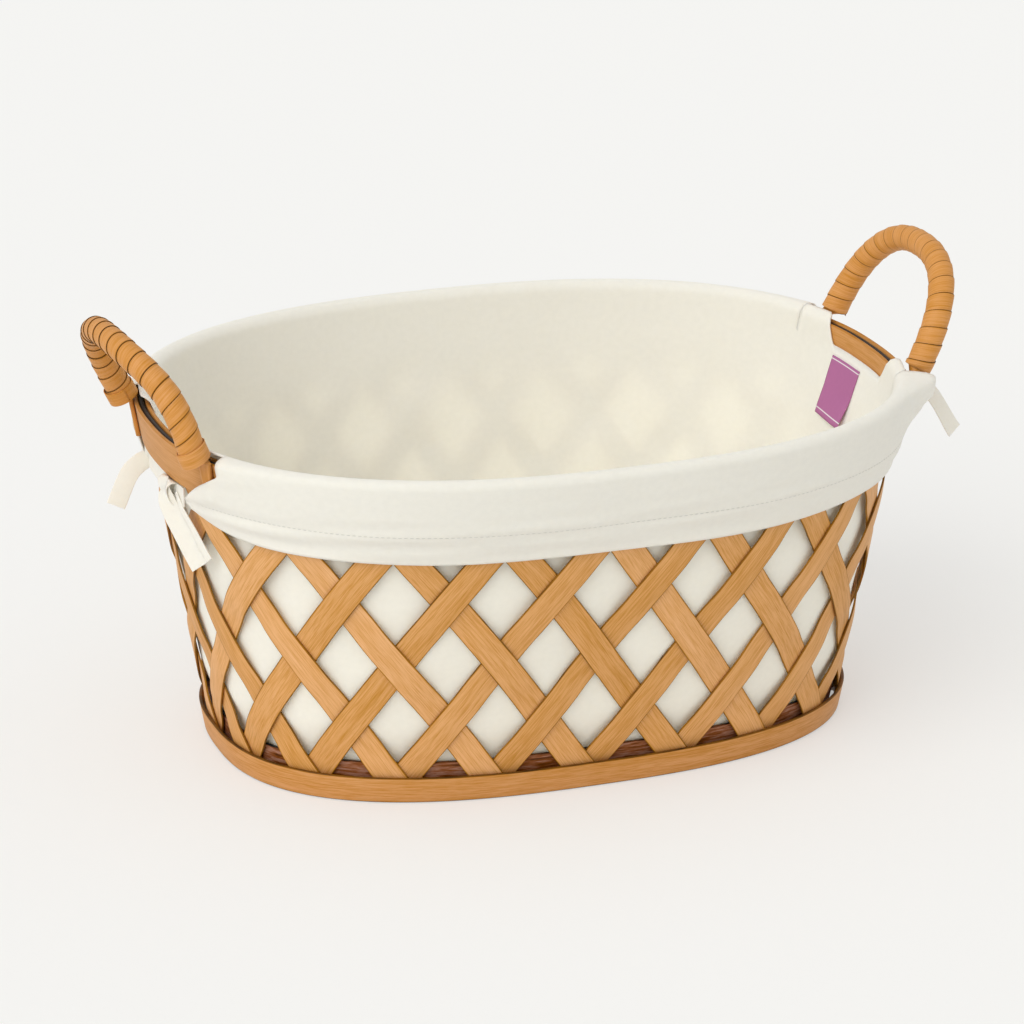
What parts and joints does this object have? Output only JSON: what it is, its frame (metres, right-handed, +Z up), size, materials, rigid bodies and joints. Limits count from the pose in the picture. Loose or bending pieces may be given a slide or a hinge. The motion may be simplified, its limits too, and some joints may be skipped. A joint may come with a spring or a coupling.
{
  "type": "laundry basket",
  "caption": "Oval open basket of woven diagonal wood splints with two wrapped end handles and a tied cloth liner turned over the rim, for carrying laundry.",
  "frame": {"origin": "on the floor under the middle of the base", "axes": "+Z up, +X along the basket towards one handle"},
  "size_m": [0.5629, 0.392, 0.2903],
  "materials": {
    "splint": "thin planed splint, satin",
    "band": "planed splint band, satin",
    "dark_hoop": "dark stained splint, matt",
    "board": "plywood, matt",
    "rod": "bent rod, matt",
    "wrap": "wound splint ribbon, satin",
    "cloth": "plain woven cotton",
    "tape": "folded cotton tape",
    "label": "woven label, bare"
  },
  "bodies": {
    "basket": {"base_outer_band": "band", "rim_outer_band": "band", "rim_inner_band": "band", "base_inner_hoop": "dark_hoop", "base_board": "board", "strip_right_01": "splint", "strip_left_01": "splint", "strip_right_02": "splint", "strip_left_02": "splint", "strip_right_03": "splint", "strip_left_03": "splint", "strip_right_04": "splint", "strip_left_04": "splint", "strip_right_05": "splint", "strip_left_05": "splint", "strip_right_06": "splint", "strip_left_06": "splint", "strip_right_07": "splint", "strip_left_07": "splint", "strip_right_08": "splint", "strip_left_08": "splint", "strip_right_09": "splint", "strip_left_09": "splint", "strip_right_10": "splint", "strip_left_10": "splint", "strip_right_11": "splint", "strip_left_11": "splint", "strip_right_12": "splint", "strip_left_12": "splint", "strip_right_13": "splint", "strip_left_13": "splint", "strip_right_14": "splint", "strip_left_14": "splint", "strip_right_15": "splint", "strip_left_15": "splint", "strip_right_16": "splint", "strip_left_16": "splint", "strip_right_17": "splint", "strip_left_17": "splint", "strip_right_18": "splint", "strip_left_18": "splint", "strip_right_19": "splint", "strip_left_19": "splint", "strip_right_20": "splint", "strip_left_20": "splint", "handle_core_right": "rod", "handle_core_left": "rod", "handle_wrap_right": "wrap", "handle_wrap_left": "wrap"},
    "liner": {"liner_wall": "cloth", "liner_bottom": "cloth", "liner_cuff_front": "cloth", "liner_cuff_back": "cloth", "liner_label": "label", "tie_band_right": "tape", "tie_tail_hanging_right": "tape", "tie_tail_outer_right": "tape", "tie_band_left": "tape", "tie_tail_hanging_left": "tape", "tie_tail_outer_left": "tape"}
  },
  "joints": [
    {"name": "liner_lift", "type": "slide", "parent": "basket", "child": "liner", "axis": [0, 0, 1], "range_m": [0, 0.3], "deforming": ["liner_cuff_front", "liner_cuff_back", "tie_band_right", "tie_tail_hanging_right", "tie_tail_outer_right", "tie_band_left", "tie_tail_hanging_left", "tie_tail_outer_left"]}
  ]
}
